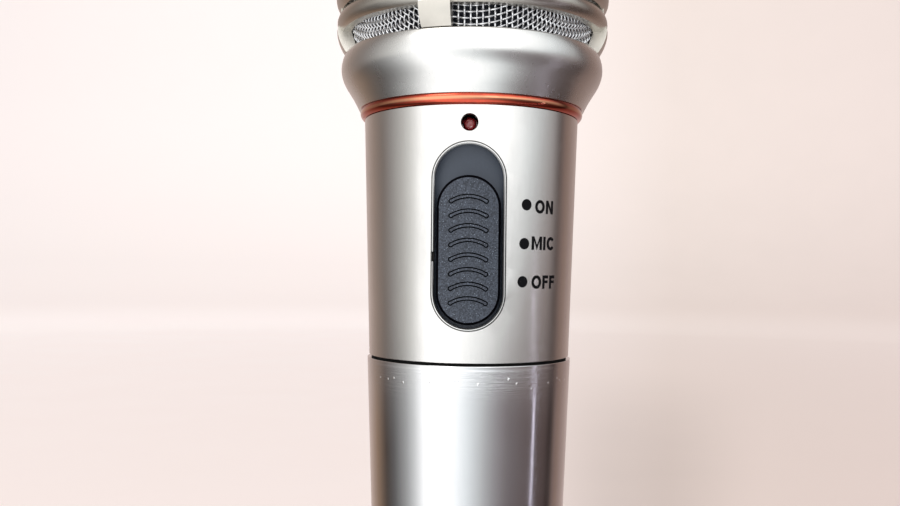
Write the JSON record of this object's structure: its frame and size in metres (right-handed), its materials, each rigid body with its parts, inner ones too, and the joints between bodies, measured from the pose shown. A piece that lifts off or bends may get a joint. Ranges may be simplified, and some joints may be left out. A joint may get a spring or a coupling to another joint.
{
  "type": "dynamic microphone",
  "caption": "Handheld microphone with a caged wire-mesh ball head, flared collar, red accent ring, sliding switch, indicator lamp and screw-off tapered battery cover.",
  "frame": {"origin": "centre of the end face of the tail, on the surface it stands on", "axes": "+Z along the handle towards the head; -Y is the side with the switch; +X to the right of someone facing the switch"},
  "size_m": [0.0538, 0.0538, 0.2271],
  "materials": {
    "collar_silver": "satin silver paint over metal",
    "cage_silver": "satin silver plate",
    "mesh_steel": "woven bright wire",
    "foam_grey": "open-cell foam",
    "trim_silver": "bright silver plate",
    "accent_red": "red-orange anodised",
    "housing_silver": "glossy silver paint",
    "knob_slate": "fine spark-eroded grain",
    "plate_slate": "smooth dark slate",
    "lamp_red": "clear dark red, off",
    "cover_aluminium": "finely turned",
    "tail_silver": "satin silver",
    "seam_black": "dull black",
    "frame_black": "moulded",
    "board_green": "solder mask",
    "part_black": "moulded package",
    "steel_bright": "nickel plated",
    "contact_gold": "plated",
    "cell_jacket": "printed sleeve, plain",
    "rubber_black": "soft rubber",
    "capsule_aluminium": "fine turned",
    "magnet_grey": "ground",
    "coil_copper": "enamelled copper",
    "membrane_clear": "thin clear film",
    "felt_grey": "felt",
    "lead_red": "wire insulation",
    "lead_white": "wire insulation"
  },
  "bodies": {
    "handle": {"upper_housing": "housing_silver", "slot_trim": "trim_silver", "switch_backplate": "plate_slate", "slide_switch_body": "steel_bright", "lamp_lens": "lamp_red", "lamp_leads": "steel_bright", "neck_sleeve": "frame_black", "joint_sleeve": "frame_black", "board_frame": "frame_black", "circuit_board": "board_green", "board_screws": "steel_bright", "radio_shield": "steel_bright", "audio_chip": "part_black", "crystal": "steel_bright", "board_capacitors": "part_black", "chip_resistors": "part_black", "frame_screws": "steel_bright", "battery_holder": "frame_black", "left_cell": "cell_jacket", "right_cell": "cell_jacket", "battery_springs": "steel_bright", "battery_contacts": "steel_bright", "tail_frame": "frame_black", "tail_screws": "steel_bright", "connector_insert": "frame_black", "connector_pins": "contact_gold", "insert_screw": "steel_bright", "antenna_wire": "lead_white", "signal_leads": "lead_white", "supply_leads": "lead_red", "capsule_leads": "lead_white", "shock_mount": "rubber_black", "capsule_housing": "capsule_aluminium", "capsule_yoke": "steel_bright", "capsule_magnet": "magnet_grey", "pole_plate": "steel_bright", "diaphragm_surround": "membrane_clear", "surround_spacer": "part_black", "capsule_felt": "felt_grey", "capsule_cap": "capsule_aluminium"},
    "accent": {"accent_ring": "accent_red"},
    "head": {"head_collar": "collar_silver", "grille_cage": "cage_silver", "top_cap": "cage_silver", "grille_mesh": "mesh_steel", "foam_windscreen": "foam_grey", "mesh_retainer": "frame_black"},
    "switch": {"switch_knob": "knob_slate", "switch_lever": "part_black"},
    "membrane": {"diaphragm": "membrane_clear", "voice_coil": "coil_copper"},
    "seam": {"seam_ring": "seam_black"},
    "cover": {"battery_cover": "cover_aluminium", "cover_thread_ring": "frame_black", "tail_ring": "tail_silver"}
  },
  "joints": [
    {"name": "cover_unscrew", "type": "hinge", "parent": "cover", "child": "seam", "pos_m": [0, 0, 0.13], "axis": [0, 0, 1], "range_deg": [0, 900]},
    {"name": "cover_draw", "type": "slide", "parent": "seam", "child": "handle", "axis": [0, 0, 1], "range_m": [0, 0.14]},
    {"name": "switch_slide", "type": "slide", "parent": "handle", "child": "switch", "axis": [0, -0.0315, 0.9995], "range_m": [0, 0.005]},
    {"name": "head_unscrew", "type": "hinge", "parent": "handle", "child": "accent", "pos_m": [0, 0, 0.1775], "axis": [0, 0, 1], "range_deg": [0, 900]},
    {"name": "head_lift", "type": "slide", "parent": "accent", "child": "head", "axis": [0, 0, 1], "range_m": [0, 0.06]},
    {"name": "diaphragm_travel", "type": "slide", "parent": "handle", "child": "membrane", "axis": [0, 0, 1], "range_m": [-0.0003, 0.0003], "stiffness_N_per_m": 300}
  ]
}
